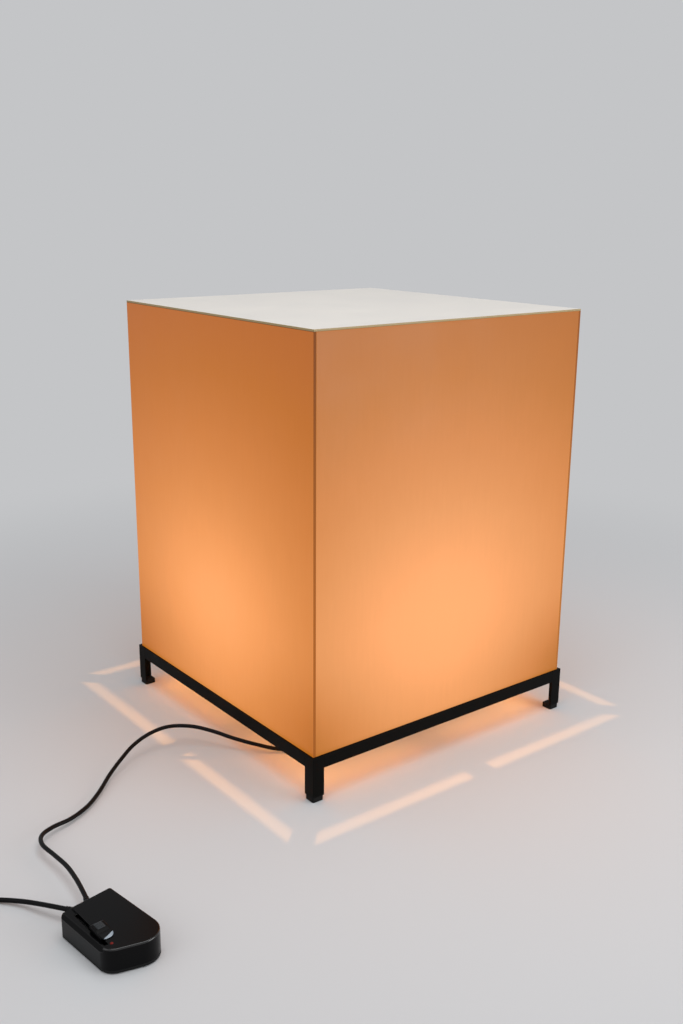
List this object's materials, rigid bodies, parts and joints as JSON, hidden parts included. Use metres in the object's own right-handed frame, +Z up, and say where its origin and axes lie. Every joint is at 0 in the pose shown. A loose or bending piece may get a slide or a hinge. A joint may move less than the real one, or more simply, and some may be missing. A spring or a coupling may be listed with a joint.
{
  "type": "floor lamp",
  "caption": "Tall square opal box shade standing in a low black steel angle frame on short legs, with a bulb inside and a sliding foot dimmer in its lead.",
  "frame": {"origin": "on the floor, under the middle of the shade", "axes": "+Z up; +X to the right and +Y to the back of the lamp, along the shade's sides; the dimmer lies towards -X and -Y"},
  "size_m": [1.083, 0.6857, 0.672],
  "materials": {
    "black_steel": "satin black stove enamel",
    "pad_rubber": "moulded",
    "white_plate": "satin white enamel",
    "zinc_steel": "bright zinc plate",
    "black_moulding": "fine mould grain",
    "cord_sheath": "smooth sheath, slightly shiny",
    "core_ceramic": "unglazed",
    "contact_brass": "stamped",
    "cap_metal": "pressed",
    "bulb_glass": "clear",
    "filament": "glowing wire",
    "opal_sheet": "opal acrylic sheet, satin gloss, lit from inside",
    "opal_top": "opal acrylic sheet, satin gloss",
    "dimmer_shell": "smooth moulding",
    "knob_plastic": "ridged moulding",
    "red_lens": "clear red lens",
    "board_green": "solder mask",
    "sink_aluminium": "bent sheet",
    "copper_winding": "lacquered winding",
    "capacitor_film": "film case",
    "terminal_plastic": "moulded"
  },
  "bodies": {
    "frame": {"leg_front_left": "black_steel", "leg_front_right": "black_steel", "leg_back_right": "black_steel", "leg_back_left": "black_steel", "rail_front": "black_steel", "rail_right": "black_steel", "rail_back": "black_steel", "rail_left": "black_steel", "pad_front_left": "pad_rubber", "pad_front_right": "pad_rubber", "pad_back_right": "pad_rubber", "pad_back_left": "pad_rubber", "cross_bar_long": "black_steel", "cross_bar_front": "black_steel", "cross_bar_back": "black_steel", "base_plate": "white_plate", "plate_screws": "zinc_steel", "plate_nuts": "zinc_steel", "threaded_tube": "zinc_steel", "tube_nuts": "zinc_steel", "tube_washer": "zinc_steel", "cord_grip": "black_moulding", "lead_in": "cord_sheath", "holder_cap": "black_moulding", "holder_core": "core_ceramic", "holder_skirt": "black_moulding", "screw_shell": "contact_brass", "centre_contact": "contact_brass", "bulb_cap": "cap_metal", "bulb_contact": "cap_metal", "bulb_glass": "bulb_glass", "bulb_stem": "bulb_glass", "bulb_filament": "filament", "dimmer_base": "dimmer_shell", "dimmer_housing": "dimmer_shell", "dimmer_feet": "pad_rubber", "dimmer_screws": "zinc_steel", "dimmer_board": "board_green", "slide_control": "sink_aluminium", "heat_sink": "sink_aluminium", "choke": "copper_winding", "capacitor": "capacitor_film", "terminal_block": "terminal_plastic", "lead_clamps": "black_moulding", "dimmer_grommets": "cord_sheath", "dimmer_leads": "cord_sheath", "indicator": "red_lens", "lamp_cord": "cord_sheath", "mains_cord": "cord_sheath", "mains_coil": "cord_sheath", "plug_cord": "cord_sheath", "plug_body": "black_moulding", "plug_pins": "contact_brass"},
    "shade": {"shade_front": "opal_sheet", "shade_right": "opal_sheet", "shade_back": "opal_sheet", "shade_left": "opal_sheet", "shade_top": "opal_top"},
    "slider": {"slider_knob": "knob_plastic"}
  },
  "joints": [
    {"name": "shade_lift", "type": "slide", "parent": "frame", "child": "shade", "axis": [0, 0, 1], "range_m": [0, 0.16]},
    {"name": "dimmer_slide", "type": "slide", "parent": "frame", "child": "slider", "axis": [0.0541, -0.9985, 0], "range_m": [-0.035, 0.0055]}
  ]
}
